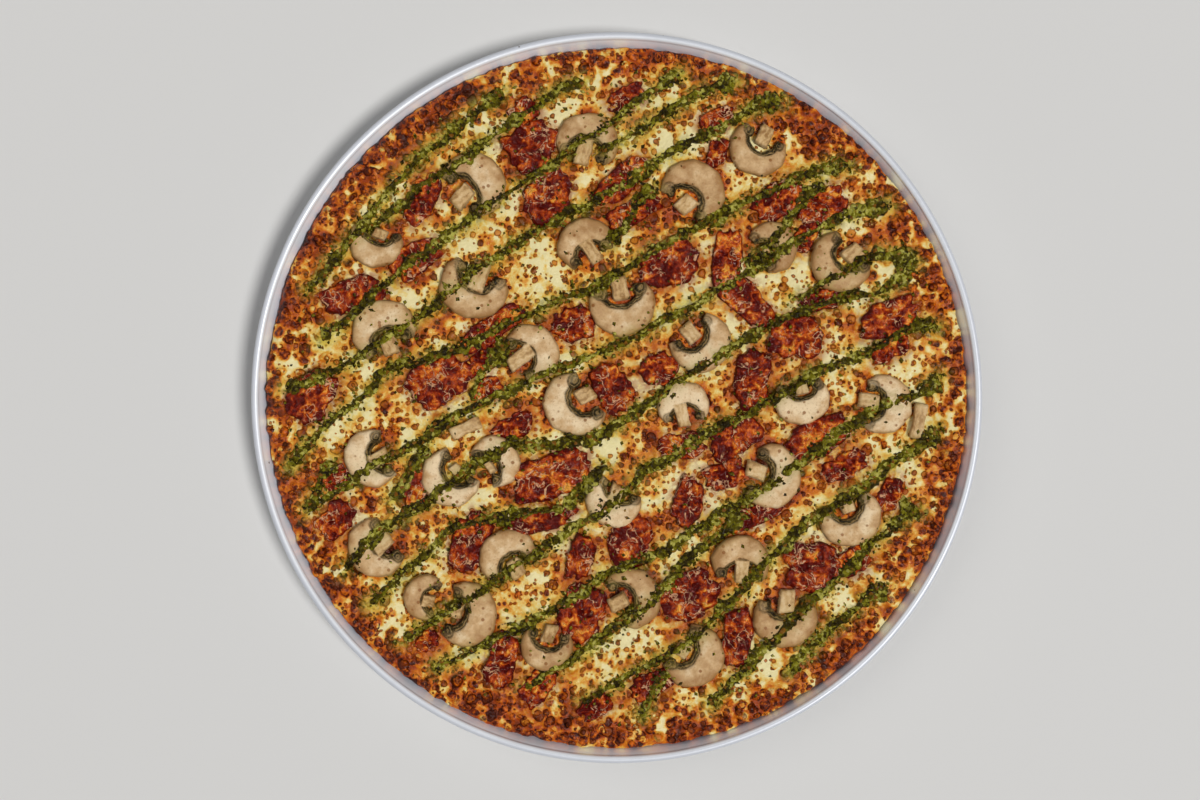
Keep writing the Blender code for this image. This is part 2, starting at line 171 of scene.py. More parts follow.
# Pesto strokes, each from its thick end at the upper right
STROKES = (
    ((-63, 170), (-77, 160), (-94, 146), (-111, 132), (-125, 116), (-138, 102), (-151, 84), (-171, 61)),
    (
        (-18, 176), (-31, 172), (-46, 161), (-61, 152), (-76, 141), (-91, 128), (-105, 120),
        (-120, 108), (-145, 89),
    ),
    (
        (35, 180), (10, 163), (-16, 145), (-33, 132), (-65, 110), (-96, 89), (-126, 66), (-144, 48),
        (-164, 32),
    ),
    ((66, 176), (50, 171), (32, 161), (15, 150), (-8, 136)),
    (
        (91, 165), (76, 161), (58, 151), (22, 131), (-5, 114), (-33, 99), (-69, 78), (-93, 59),
        (-109, 46), (-134, 29), (-155, 16), (-184, 4),
    ),
    ((21, 117), (11, 107), (4, 95), (-4, 86)),
    (
        (129, 129), (115, 127), (82, 114), (46, 95), (17, 80), (-13, 61), (-33, 54), (-55, 44),
        (-79, 32), (-104, 22), (-127, 16), (-136, 6), (-148, -5), (-162, -15), (-173, -27),
        (-181, -38),
    ),
    ((115, 120), (106, 111), (97, 100), (89, 89), (73, 72)),
    (
        (151, 107), (135, 104), (106, 90), (74, 71), (39, 50), (13, 36), (-11, 24), (-38, 13),
        (-66, 1), (-97, -14), (-109, -25), (-140, -41), (-172, -63),
    ),
    ((166, 77), (152, 80), (139, 77), (111, 61), (98, 54)),
    (
        (165, 75), (158, 67), (146, 57), (132, 56), (102, 48), (75, 35), (53, 21), (31, 7), (6, -12),
        (-18, -24), (-48, -27), (-62, -27), (-85, -41), (-104, -57), (-129, -72), (-152, -96),
    ),
    (
        (178, 39), (166, 40), (137, 24), (112, 15), (82, -4), (51, -19), (23, -37), (14, -41),
        (1, -56), (-40, -83), (-76, -107), (-95, -119), (-119, -134),
    ),
    ((-61, 33), (-69, 21), (-76, 10), (-81, 0)),
    ((-106, -27), (-112, -37), (-125, -57)),
    ((-156, -36), (-163, -45), (-171, -61)),
    ((-6, -37), (-15, -46), (-29, -61)),
    ((-29, -61), (-48, -63), (-62, -66), (-87, -71), (-106, -87), (-126, -105), (-137, -115)),
    (
        (179, 11), (166, 1), (149, -3), (129, -17), (102, -36), (82, -50), (58, -65), (32, -82),
        (-1, -96), (-26, -113), (-56, -129), (-101, -150),
    ),
    ((68, -61), (62, -72), (41, -89), (21, -111), (-1, -129), (-25, -146), (-51, -161)),
    (
        (179, -18), (166, -27), (134, -51), (119, -61), (92, -83), (72, -105), (51, -126), (41, -136),
        (7, -155), (-19, -170),
    ),
    ((168, -62), (157, -69), (136, -87), (127, -98), (102, -119), (82, -139), (64, -160), (52, -171)),
    ((150, -105), (132, -117), (106, -140), (96, -152)),
    ((28, -152), (21, -162), (13, -177)),
)


# Noise and maps


def lattice(i, j, seed):
    """A repeatable value from 0 to 1 for each whole-numbered place."""
    mixed = (i.astype(np.int64) * 374761393 + j.astype(np.int64) * 668265263 + seed * 974634777) & 0xFFFFFFFF
    mixed = ((mixed ^ (mixed >> 13)) * 1274126177) & 0xFFFFFFFF
    return ((mixed ^ (mixed >> 16)) & 0xFFFFFF) / 0xFFFFFF


def soft_noise(x, y, size, seed):
    """Smooth noise from -1 to 1 whose lumps are about size across."""
    u = np.asarray(x, float) / size
    v = np.asarray(y, float) / size
    i = np.floor(u)
    j = np.floor(v)
    a = u - i
    b = v - j
    a = a * a * (3 - 2 * a)
    b = b * b * (3 - 2 * b)
    low = lattice(i, j, seed) * (1 - a) + lattice(i + 1, j, seed) * a
    high = lattice(i, j + 1, seed) * (1 - a) + lattice(i + 1, j + 1, seed) * a
    return 2 * (low * (1 - b) + high * b) - 1


def rough_noise(x, y, size, seed, octaves=3):
    """Soft noise with finer and weaker layers on it."""
    total = 0
    share = 1
    for octave in range(octaves):
        total = total + share * soft_noise(x, y, size, seed + octave)
        size /= 2.1
        share *= 0.5
    return total / (2 - 0.5 ** (octaves - 1))


def smoothstep(low, high, value):
    """Rises smoothly from 0 at low to 1 at high."""
    t = np.clip((value - low) / (high - low), 0, 1)
    return t * t * (3 - 2 * t)


# A square map of the top, from -HALF to HALF in cells, all in millimetres
CELL = 0.5
HALF = 200
AXIS = np.arange(-HALF, HALF + CELL / 2, CELL)
GRID_X, GRID_Y = np.meshgrid(AXIS, AXIS)
GRID_R = np.hypot(GRID_X, GRID_Y)


def window(x, y, reach):
    """The map's cells within reach of a place."""
    low_x = max(int((x - reach + HALF) / CELL), 0)
    low_y = max(int((y - reach + HALF) / CELL), 0)
    high_x = max(int((x + reach + HALF) / CELL) + 2, 0)
    high_y = max(int((y + reach + HALF) / CELL) + 2, 0)
    return slice(low_y, high_y), slice(low_x, high_x)


def sample(field, x, y):
    """A map's value between its cells."""
    u = np.clip((np.asarray(x, float) + HALF) / CELL, 0, len(AXIS) - 1.001)
    v = np.clip((np.asarray(y, float) + HALF) / CELL, 0, len(AXIS) - 1.001)
    i = u.astype(int)
    j = v.astype(int)
    a = u - i
    b = v - j
    low = field[j, i] * (1 - a) + field[j, i + 1] * a
    high = field[j + 1, i] * (1 - a) + field[j + 1, i + 1] * a
    return low * (1 - b) + high * b


def blurred(field, reach):
    """A map averaged over a square, twice."""
    cells = int(reach / CELL)
    for axis in (0, 1, 0, 1):
        padded = np.concatenate([np.repeat(field.take([0], axis), cells, axis), field,
                                 np.repeat(field.take([-1], axis), cells + 1, axis)], axis)
        sums = np.cumsum(padded, axis)
        width = 2 * cells + 1
        count = field.shape[axis]
        field = (sums.take(range(width, width + count), axis) - sums.take(range(count), axis)) / width
    return field


# Meshes and materials


def build_mesh(name, verts, faces, finish, fields=None):
    """An object from points in millimetres, with a value or a vector of each field at each point."""
    mesh = bpy.data.meshes.new(name)
    mesh.from_pydata(np.asarray(verts) * MM, [], faces, shade_flat=False)
    for field, values in (fields or {}).items():
        values = np.asarray(values, np.float32)
        kind, slot = ("FLOAT_VECTOR", "vector") if values.ndim == 2 else ("FLOAT", "value")
        mesh.attributes.new(field, kind, "POINT").data.foreach_set(slot, values.ravel())
    mesh.materials.append(finish)
    obj = bpy.data.objects.new(name, mesh)
    bpy.context.scene.collection.objects.link(obj)
    return obj


def grid_faces(rows, columns, wrapped):
    """Quads between rows of points, each row wrapping round if asked."""
    across = columns if wrapped else columns - 1
    row, column = np.meshgrid(np.arange(rows - 1), np.arange(across), indexing="ij")
    a = row * columns + column
    b = row * columns + (column + 1) % columns
    return np.stack([a, b, b + columns, a + columns], -1).reshape(-1, 4)


class Finish:
    """A material under construction."""

    def __init__(self, name):
        self.made = bpy.data.materials.new(name)
        self.made.use_nodes = True
        self.tree = self.made.node_tree
        self.shader = self.tree.nodes["Principled BSDF"]

    def node(self, kind, inputs=None, **settings):
        made = self.tree.nodes.new(kind)
        for key, value in settings.items():
            setattr(made, key, value)
        for key, value in (inputs or {}).items():
            self.put(made.inputs[key], value)
        return made

    def put(self, socket, value):
        if isinstance(value, bpy.types.NodeSocket):
            self.tree.links.new(value, socket)
        else:
            socket.default_value = value

    def field(self, name, output="Fac"):
        return self.node("ShaderNodeAttribute", attribute_name=name).outputs[output]

    def math(self, operation, *values):
        made = self.node("ShaderNodeMath", operation=operation)
        for socket, value in zip(made.inputs, values):
            self.put(socket, value)
        return made.outputs[0]

    def plus(self, first, second):
        return self.math("ADD", first, second)

    def minus(self, first, second):
        return self.math("SUBTRACT", first, second)

    def times(self, first, second):
        return self.math("MULTIPLY", first, second)

    def swing(self, value, amount):
        """How far a noise lies from its middle, times an amount."""
        return self.times(self.minus(value, 0.5), amount)

    def off_middle(self, value):
        """How far a noise lies from its middle, either way, which is 0 along winding lines."""
        return self.math("ABSOLUTE", self.minus(value, 0.5))

    def place(self):
        return self.node("ShaderNodeTexCoord").outputs["Object"]

    def noise(self, scale, detail=3, rough=0.55, vector=None, distortion=0.0):
        inputs = {"Vector": vector or self.place(), "Scale": scale, "Detail": detail, "Roughness": rough,
                  "Distortion": distortion}
        return self.node("ShaderNodeTexNoise", inputs).outputs["Fac"]

    def cells(self, scale, vector=None, randomness=1.0, **settings):
        """Distance to the middle of a cell, and three random values for each cell."""
        inputs = {"Vector": vector or self.place(), "Scale": scale, "Randomness": randomness}
        made = self.node("ShaderNodeTexVoronoi", inputs, **settings)
        draws = self.node("ShaderNodeSeparateColor", {"Color": made.outputs["Color"]}).outputs
        return (made.outputs["Distance"], *draws)

    def step(self, low, high, value):
        """Rises smoothly from 0 at low to 1 at high."""
        made = self.node("ShaderNodeMapRange", interpolation_type="SMOOTHSTEP")
        for socket, number in (("Value", value), ("From Min", low), ("From Max", high)):
            self.put(made.inputs[socket], number)
        return made.outputs["Result"]

    def between(self, low, high, value):
        """Spreads a noise's usual range from low to high."""
        inputs = {"Value": value, "From Min": 0.3, "From Max": 0.7, "To Min": low, "To Max": high}
        return self.node("ShaderNodeMapRange", inputs).outputs["Result"]

    def ramp(self, value, *stops):
        made = self.node("ShaderNodeValToRGB", {"Fac": value})
        while len(made.color_ramp.elements) < len(stops):
            made.color_ramp.elements.new(0.5)
        for element, (place, colour) in zip(made.color_ramp.elements, stops):
            element.position = place
            element.color = (*colour, 1)
        return made.outputs["Color"]

    def mix(self, share, first, second):
        made = self.node("ShaderNodeMix", data_type="RGBA")
        for socket, value in zip((made.inputs[0], made.inputs[6], made.inputs[7]), (share, first, second)):
            self.put(socket, (*value, 1) if isinstance(value, tuple) else value)
        return made.outputs[2]

    def bump(self, height, depth):
        return self.node("ShaderNodeBump", {"Height": height, "Distance": depth * MM}).outputs["Normal"]

    def done(self, **sockets):
        for name, value in sockets.items():
            self.put(self.shader.inputs[name.replace("_", " ")], value)
        return self.made


def cheese_finish():
    f = Finish("baked_cheese")
    place = f.place()
    shift = f.node("ShaderNodeTexNoise", {"Vector": place, "Scale": 330.0, "Detail": 1.0}).outputs["Color"]
    shift = f.node("ShaderNodeVectorMath", {0: shift, 1: (0.5, 0.5, 0.5)}, operation="SUBTRACT").outputs[0]
    shift = f.node("ShaderNodeVectorMath", {0: shift, "Scale": 0.0018}, operation="SCALE").outputs[0]
    bent = f.node("ShaderNodeVectorMath", {0: place, 1: shift}, operation="ADD").outputs[0]
    fine = f.noise(1000, 4, 0.65, place)
    middle = f.noise(300, 3, 0.6, place)
    broad = f.noise(80, 3, 0.6, place, distortion=0.6)
    zone = f.plus(f.field("toast_and_shade"), f.swing(broad, 1.2))
    zone = f.plus(zone, f.swing(middle, 0.6))
    zone = f.plus(zone, f.swing(fine, 0.25))
    # painted shade in the cheese's crevices and painted light on its ridges, added to the browning
    zone = f.plus(zone, f.times(f.field("painted_crevice_shade"), 0.25))
    toast_and_shade = zone
    height = f.plus(f.times(fine, 0.3), middle)
    bubbles = []
    for scale, share, slope in BUBBLE_LAYERS:
        distance, chance, size, tint = f.cells(scale, bent, 0.95, voronoi_dimensions="2D")
        reach = f.plus(0.15, f.times(size, 0.22))
        far = f.minus(distance, reach)
        there = f.step(0.0, 0.04, f.minus(f.plus(f.times(zone, slope), share), chance))
        inside = f.times(f.step(0.03, -0.02, far), there)
        halo = f.times(f.step(0.2, 0.02, far), there)
        toast_and_shade = f.plus(toast_and_shade, f.times(halo, 0.13))
        brown = f.plus(f.times(tint, 0.5), f.times(f.step(-0.12, -0.02, far), 0.3))
        brown = f.plus(brown, f.times(zone, 0.75))
        inward = f.math("DIVIDE", distance, reach)
        dome = f.math("MAXIMUM", f.minus(1.0, f.times(inward, inward)), 0.0)
        dome = f.times(f.math("SQRT", dome), there)
        height = f.plus(height, f.times(dome, 140.0 / scale))
        bubbles.append((inside, brown))
    colour = f.ramp(toast_and_shade, (0.0, (0.88, 0.76, 0.39)), (0.15, (0.84, 0.60, 0.17)), (0.27, (0.76, 0.36, 0.042)),
                    (0.41, (0.66, 0.175, 0.006)), (0.62, (0.38, 0.054, 0.002)), (1.0, (0.06, 0.007, 0.001)))
    for inside, brown in bubbles:
        baked = f.ramp(brown, (0.1, (0.64, 0.215, 0.014)), (0.35, (0.38, 0.080, 0.004)),
                       (0.61, (0.13, 0.018, 0.001)), (0.95, (0.050, 0.006, 0.001)))
        colour = f.mix(f.times(inside, 0.93), colour, baked)
    grain = f.plus(f.field("char"), f.swing(fine, 0.4))
    burnt = f.ramp(middle, (0.38, (0.045, 0.005, 0.001)), (0.50, (0.200, 0.024, 0.001)),
                   (0.65, (0.70, 0.145, 0.004)))
    colour = f.mix(f.step(0.3, 0.6, grain), colour, burnt)
    green = f.times(f.field("oil"), f.step(0.34, 0.54, broad))
    oily = f.ramp(middle, (0.40, (0.20, 0.165, 0.008)), (0.56, (0.62, 0.54, 0.07)))
    colour = f.mix(f.times(green, 0.8), colour, oily)
    red = f.times(f.field("juice"), f.step(0.66, 0.42, middle))
    colour = f.mix(f.times(red, 0.7), colour, (0.36, 0.060, 0.005))
    return f.done(Base_Color=colour, Roughness=f.between(0.14, 0.28, middle), Normal=f.bump(height, 1.2),
                  Specular_IOR_Level=0.22)


def mushroom_finish():
    f = Finish("mushroom")
    x, _, tone = f.node("ShaderNodeSeparateXYZ", {"Vector": f.field("local", "Vector")}).outputs
    edge = f.field("edge")
    fine = f.noise(800, 4, 0.65)
    broad = f.noise(130, 3, 0.6)
    soft = f.plus(tone, f.plus(f.times(broad, 0.55), 0.25))
    soft = f.minus(soft, f.times(f.step(0.55, 1.0, edge), 0.10))
    flesh = f.ramp(soft, (0.34, (0.42, 0.22, 0.080)), (0.47, (0.66, 0.42, 0.200)), (0.60, (0.88, 0.67, 0.41)))
    flesh = f.mix(f.times(f.step(0.52, 0.7, fine), 0.5), flesh, (0.38, 0.19, 0.06))
    flesh = f.mix(f.times(f.step(0.92, 0.98, edge), 0.4), flesh, (0.26, 0.14, 0.04))
    distance, chance = f.cells(230.0)[:2]
    dots = f.times(f.step(0.28, 0.16, distance), f.step(0.55, 0.60, chance))
    flesh = f.mix(f.times(dots, 0.8), flesh, (0.26, 0.09, 0.015))
    wobble = f.swing(f.noise(420, 3, 0.6), 12.0)
    lines = f.math("SINE", f.plus(f.times(f.field("ring"), 42.0), wobble))
    gills = f.ramp(f.plus(f.times(lines, 0.22), broad), (0.25, (0.014, 0.009, 0.002)),
                   (0.5, (0.07, 0.045, 0.012)), (0.8, (0.30, 0.19, 0.07)))
    colour = f.mix(f.field("gill"), flesh, gills)
    ribbed = f.math("SINE", f.plus(f.times(x, 70.0), wobble))
    stem = f.ramp(f.plus(f.times(ribbed, 0.08), broad), (0.32, (0.33, 0.17, 0.05)),
                  (0.5, (0.62, 0.39, 0.16)), (0.68, (0.76, 0.54, 0.28)))
    colour = f.mix(f.times(f.field("stem"), 0.85), colour, stem)
    green = f.times(f.field("oil"), f.step(0.42, 0.62, broad))
    colour = f.mix(f.times(green, 0.6), colour, (0.30, 0.23, 0.018))
    height = f.plus(fine, f.times(f.times(lines, f.field("gill")), 0.5))
    return f.done(Base_Color=colour, Roughness=0.3, Normal=f.bump(height, 0.5), Specular_IOR_Level=0.18)


def tomato_finish():
    f = Finish("dried_tomato")
    warped = f.noise(240, 3, 0.6, distortion=1.6)
    fine = f.noise(900, 4, 0.7)
    broad = f.noise(110, 3, 0.6)
    tone = f.plus(f.swing(broad, 1.3), f.times(warped, 0.5))
    # painted light: ridges of the tomato are painted lighter and more orange, its folds darker
    tone = f.plus(tone, f.times(f.field("ridge"), 0.42))
    tone = f.plus(tone, f.swing(fine, 0.2))
    tone = f.minus(tone, f.times(f.step(0.80, 1.0, f.field("edge")), 0.2))
    colour = f.ramp(tone, (0.24, (0.10, 0.003, 0.001)), (0.38, (0.25, 0.015, 0.001)),
                    (0.50, (0.44, 0.050, 0.003)), (0.62, (0.74, 0.15, 0.011)), (0.76, (0.92, 0.40, 0.05)))
    # painted highlight: thin pinkish-white winding lines on the tomato, with a little bump along them
    winding = f.off_middle(f.noise(125, 2, 0.5, distortion=1.2))
    painted_highlight_lines = f.times(f.step(0.030, 0.014, winding), f.step(0.46, 0.54, f.noise(95, 2)))
    colour = f.mix(f.times(painted_highlight_lines, 0.85), colour, (0.90, 0.50, 0.27))
    # painted shade: near-black lines along the folds of the tomato
    painted_crease_shade = f.step(0.026, 0.004, f.off_middle(warped))
    colour = f.mix(f.times(painted_crease_shade, 0.7), colour, (0.04, 0.002, 0.001))
    height = f.plus(f.times(warped, 1.6), f.times(painted_highlight_lines, 0.4))
    return f.done(Base_Color=colour, Roughness=0.16, Normal=f.bump(height, 1.3), Specular_IOR_Level=0.24)


def pesto_finish():
    f = Finish("pesto")
    fine = f.noise(1000, 4, 0.7)
    broad = f.noise(95, 3, 0.6)
    distance, tint, chance = f.cells(560.0)[:3]
    tone = f.plus(f.times(tint, 0.8), f.times(f.minus(broad, 0.46), 1.8))
    colour = f.ramp(tone, (0.0, (0.022, 0.014, 0.001)), (0.28, (0.060, 0.044, 0.001)),
                    (0.50, (0.125, 0.101, 0.003)), (0.72, (0.28, 0.25, 0.011)), (0.95, (0.62, 0.56, 0.11)))
    colour = f.mix(f.times(f.step(0.54, 0.68, fine), 0.6), colour, (0.026, 0.018, 0.001))
    colour = f.mix(f.times(f.step(0.93, 0.95, chance), 0.8), colour, (0.30, 0.11, 0.012))
    return f.done(Base_Color=colour, Roughness=0.18, Normal=f.bump(f.minus(fine, distance), 1.3),
                  Specular_IOR_Level=0.24)


def metal_finish():
    """Aluminium with dull patches and dark specks, with painted light on the inner wall below the rim and
    painted shade on its bead.
    """
    f = Finish("pan_metal")
    place = f.place()
    fine = f.noise(420, 4, 0.6, place)
    dull = f.noise(34, 4, 0.65, place)
    colour = f.ramp(dull, (0.36, (0.64, 0.67, 0.74)), (0.5, (0.78, 0.81, 0.88)), (0.64, (0.90, 0.93, 0.99)))
    x, y, z = f.node("ShaderNodeSeparateXYZ", {"Vector": place}).outputs
    radius = f.math("SQRT", f.plus(f.times(x, x), f.times(y, y)))
    # painted light: the inner wall just below the rim is painted brighter
    painted_wall_light = f.times(f.step(0.1942, 0.1972, radius), f.step(0.018, 0.021, z))
    colour = f.mix(f.times(painted_wall_light, 0.85), colour, (0.96, 0.98, 1.0))
    # painted shade: the outer part of the rolled bead is painted darker, toning down its highlight
    colour = f.mix(f.times(f.step(0.2000, 0.2008, radius), 0.9), colour, (0.67, 0.69, 0.74))
    distance, chance = f.cells(150.0, place)[:2]
    dots = f.times(f.step(0.12, 0.06, distance), f.step(0.84, 0.86, chance))
    colour = f.mix(f.times(dots, 0.8), colour, (0.16, 0.12, 0.10))
    return f.done(Base_Color=colour, Metallic=0.2, Roughness=f.between(0.36, 0.52, dull),
                  Normal=f.bump(fine, 0.08))


# Pan


def wall_radius(z):
    """Radius of the pan's inner wall at a height."""
    return RIM_RADIUS - 2 * BEAD_RADIUS + (z - (PAN_DEPTH - BEAD_RADIUS)) * WALL_FLARE


def straight(start, end, steps):
    """Evenly spaced points of a line, with both its ends."""
    return [tuple(start[k] + (end[k] - start[k]) * step / steps for k in (0, 1)) for step in range(steps + 1)]


def pan_profile():
    """Radius and height: out over the floor, up the inner wall, round the rolled rim and down outside."""
    slant = math.hypot(1, WALL_FLARE)
    edge = wall_radius(SHEET)
    corner = 2.5
    points = [(r, SHEET) for r in (0, 20, 60, 100, 140, 170)]
    for step in range(9):
        t = step / 8
        start = (edge - corner, SHEET)
        end = (edge + corner * WALL_FLARE / slant, SHEET + corner / slant)
        points.append(tuple((1 - t) ** 2 * start[k] + 2 * t * (1 - t) * (edge, SHEET)[k] + t * t * end[k]
                            for k in (0, 1)))
    bead = (RIM_RADIUS - BEAD_RADIUS, PAN_DEPTH - BEAD_RADIUS)
    top = (wall_radius(bead[1] - 0.9), bead[1] - 0.9)
    points += straight(points[-1], top, 12)[1:]
    for degrees in range(186, -91, -12):
        angle = math.radians(degrees)
        points.append((bead[0] + BEAD_RADIUS * math.cos(angle), bead[1] + BEAD_RADIUS * math.sin(angle)))
    low = wall_radius(0) + SHEET * slant
    outer_top = (low + (bead[1] - 1.6) * WALL_FLARE, bead[1] - 1.6)
    outer_foot = (low + corner * WALL_FLARE / slant, corner / slant)
    points += straight(outer_top, outer_foot, 6)
    points += [(low - 0.2, 0.5), (low - 0.9, 0.12), (low - corner, 0), (120, 0), (60, 0), (0, 0)]
    return points


def make_pan():
    profile = np.array(pan_profile())
    steps = 360
    angle = np.arange(steps) * math.tau / steps
    radius = profile[:, :1] + 0 * angle
    height = profile[:, 1:] + 0 * angle
    on_wall = smoothstep(186, 194, radius) * smoothstep(3, 8, height) * smoothstep(26, 20, height)
    radius = radius + on_wall * 0.10 * soft_noise(np.cos(angle) * 190, np.sin(angle) * 190, 9, 3)
    verts = np.stack([radius * np.cos(angle), radius * np.sin(angle), height], -1).reshape(-1, 3)
    faces = grid_faces(len(profile), steps, True)
    pan = build_mesh("pan_sheet", verts, faces, metal_finish())
    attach(pan, "root")
    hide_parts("pan")


# Cheese and crust

draw = np.random.default_rng(SEED)
# Maps: the cheese alone, the crust's share, their height together, the browned places with painted shade in
# them, and the charred places
PLAIN = CHEESE_Z - 0.25 + 0.5 * rough_noise(GRID_X, GRID_Y, 22, 5) + 0.95 * rough_noise(GRID_X, GRID_Y, 7, 9)
RIM = smoothstep(165, 189, GRID_R + 11 * rough_noise(GRID_X, GRID_Y, 16, 21))
HEIGHT = PLAIN + RIM * (0.9 + 1.1 * rough_noise(GRID_X, GRID_Y, 9, 31))
# painted shade: the crust's browning rises slightly towards the top (+y) side
TOAST_AND_SHADE = 0.18 + 0.45 * rough_noise(GRID_X, GRID_Y, 14, 41, 4) + RIM * (0.17 + 0.02 * GRID_Y / 190)
TOAST_AND_SHADE += (0.34 * RIM * rough_noise(GRID_X, GRID_Y, 7, 45, 2)
          - 0.11 * smoothstep(60, 150, 0.7 * (GRID_X + GRID_Y)))
CHAR = np.zeros_like(PLAIN)


def add_blister(x, y, size, dark, lift, ringed):
    """A cheese bubble: a low dome, browned all over or round its rim."""
    rows, columns = window(x, y, size * 1.7)
    dx = GRID_X[rows, columns] - x
    dy = GRID_Y[rows, columns] - y
    turn = np.arctan2(dy, dx)
    wobble = 1 + 0.12 * np.sin(2 * turn + x) + 0.08 * np.sin(3 * turn + y)
    far = np.hypot(dx, dy) / (size * wobble)
    dome = np.clip(1 - far ** 2, 0, 1) ** 0.6
    HEIGHT[rows, columns] += lift * dome
    top = smoothstep(1.02, 0.82, far)
    if ringed:
        top = top * smoothstep(0.35, 0.75, far)
    CHAR[rows, columns] = np.maximum(CHAR[rows, columns], dark * top)
    TOAST_AND_SHADE[rows, columns] = np.maximum(TOAST_AND_SHADE[rows, columns], (0.32 + 0.2 * dark) * smoothstep(1.4, 0.95, far))


def scatter_blisters():
    taken = []
    spots = {}
    for _ in range(BLISTER_TRIES):
        x, y = draw.uniform(-CRUST_RADIUS, CRUST_RADIUS, 2)
        if math.hypot(x, y) > CRUST_RADIUS:
            continue
        rim = float(sample(RIM, x, y))
        toast_and_shade = float(sample(TOAST_AND_SHADE, x, y))
        if draw.random() > 0.01 + 0.5 * max(0.0, toast_and_shade) ** 2 + 0.30 * rim:
            continue
        size = draw.uniform(1.5, 2.6) + rim * draw.uniform(0.1, 1.0)
        key = (int(x // 8), int(y // 8))
        around = [(key[0] + i, key[1] + j) for i in (-1, 0, 1) for j in (-1, 0, 1)]
        near = [spot for place in around for spot in spots.get(place, ())]
        if any(math.hypot(x - a, y - b) < (size + s) * 0.95 for a, b, s in near):
            continue
        spots.setdefault(key, []).append((x, y, size))
        taken.append((x, y, size, rim))
    for x, y, size, rim in taken:
        dark = draw.uniform(0.2, 0.9) + rim * draw.uniform(0.1, 0.7)
        ringed = draw.random() < 0.6 - 0.45 * rim
        add_blister(x, y, size, min(dark, 1), size * draw.uniform(0.4, 0.65), ringed)


def stroke_line(stroke, spacing=0.7):
    """Points along a smooth line through a stroke's points."""
    places = np.array(stroke, float)
    line = []
    for i in range(len(places) - 1):
        before = places[max(i - 1, 0)]
        start, end = places[i], places[i + 1]
        after = places[min(i + 2, len(places) - 1)]
        steps = max(2, round(float(np.hypot(*(end - start))) / spacing))
        t = (np.arange(steps) / steps)[:, None]
        bend_in = start + (end - before) / 6
        bend_out = end - (after - start) / 6
        line.append((1 - t) ** 3 * start + 3 * t * (1 - t) ** 2 * bend_in
                    + 3 * t * t * (1 - t) * bend_out + t ** 3 * end)
    return np.concatenate([*line, places[-1:]])


scatter_blisters()
LINES = [stroke_line(stroke) for stroke in STROKES]
# Maps of the oil beside the strokes, of the juice round the tomato, and of the surface that the pesto lies on
OIL = np.zeros_like(PLAIN)
for line in LINES:
    for x, y in line[::3]:
        rows, columns = window(x, y, 9)
        far = np.hypot(GRID_X[rows, columns] - x, GRID_Y[rows, columns] - y)
        OIL[rows, columns] = np.maximum(OIL[rows, columns], np.exp(-((far / OIL_REACH) ** 2)))
JUICE = np.zeros_like(PLAIN)
TOP = HEIGHT.copy()


# Mushroom slices


def slice_outline(width, stem, drawn):
    """A mushroom cut lengthwise: a domed cap with curled lips, and the stem between them."""
    points = []
    for degrees in range(-42, 223, 24):
        angle = math.radians(degrees)
        radius = 0.5 * width * drawn.uniform(0.96, 1.03)
        points.append((radius * math.cos(angle), 0.94 * radius * math.sin(angle) - 0.02 * width))
    foot = -0.10 - 0.34 * stem
    lean = drawn.uniform(-0.04, 0.04)
    points += [(-0.27 * width, -0.28 * width), ((lean - 0.16) * width, foot * width)]
    points += [((lean + 0.16) * width, foot * width), (0.27 * width, -0.28 * width)]
    return points, lean


def outline_radius(outline, angles):
    """How far the outline lies from its middle in each direction."""
    found = np.full(len(angles), 0.5)
    ends = outline[1:] + outline[:1]
    for (ax, ay), (bx, by) in zip(outline, ends):
        across = (bx - ax) * np.sin(angles) - (by - ay) * np.cos(angles)
        across = np.where(np.abs(across) < 1e-9, 1e-9, across)
        along = (ay * np.cos(angles) - ax * np.sin(angles)) / across
        hit_x = ax + (bx - ax) * along
        hit_y = ay + (by - ay) * along
        reach = hit_x * np.cos(angles) + hit_y * np.sin(angles)
        good = (along >= -1e-6) & (along <= 1 + 1e-6) & (reach > 0)
        found = np.where(good, np.maximum(found, reach), found)
    return found


